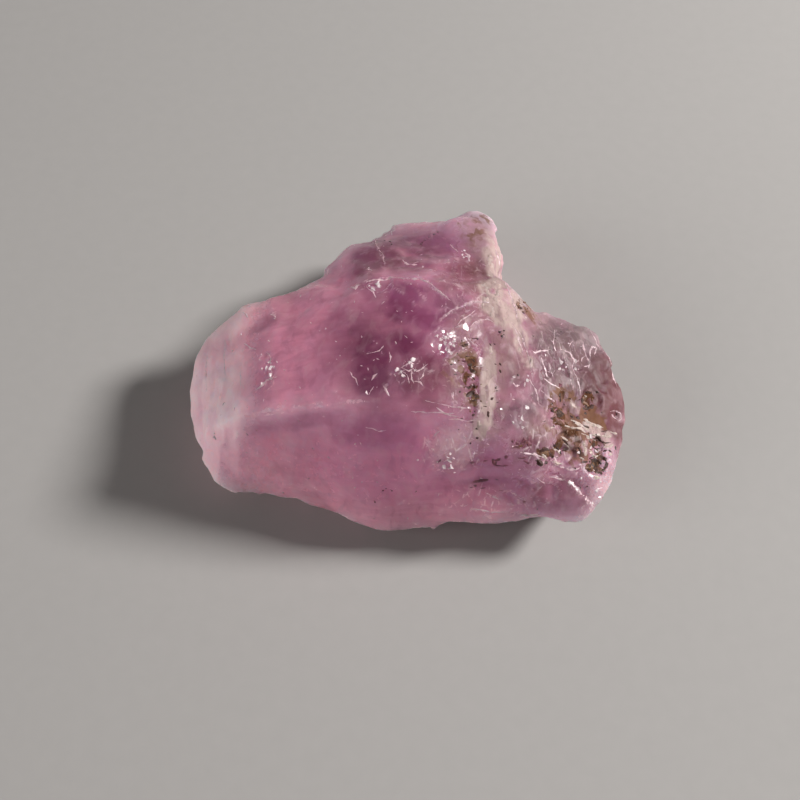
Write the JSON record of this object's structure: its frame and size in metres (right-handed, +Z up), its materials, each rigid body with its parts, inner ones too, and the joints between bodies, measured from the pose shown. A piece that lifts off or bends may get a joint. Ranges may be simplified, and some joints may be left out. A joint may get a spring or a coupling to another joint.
{
  "type": "rough kunzite stone",
  "caption": "Rough pink kunzite chunk, broken and partly see-through, with a cream vein and brown clay in its pits; it lies on a flat face.",
  "frame": {"origin": "centre of the bounding box's base, on the face that the stone rests on", "axes": "+X along the stone's longest extent, towards the clay-stained end; +Y towards the low shoulder and the rounded knob; +Z up from the resting face"},
  "size_m": [0.046, 0.0376, 0.017],
  "materials": {
    "kunzite": "glassy, clear to cloudy pink, frosted at the left end",
    "veins_and_frost": "cream to white, healed fractures inside the stone and chipped rims",
    "iron_clay": "matt brown clay in the pits",
    "dark_mineral": "small dark mineral grains"
  },
  "bodies": {
    "root": {"kunzite_crystal": "kunzite"}
  },
  "joints": []
}
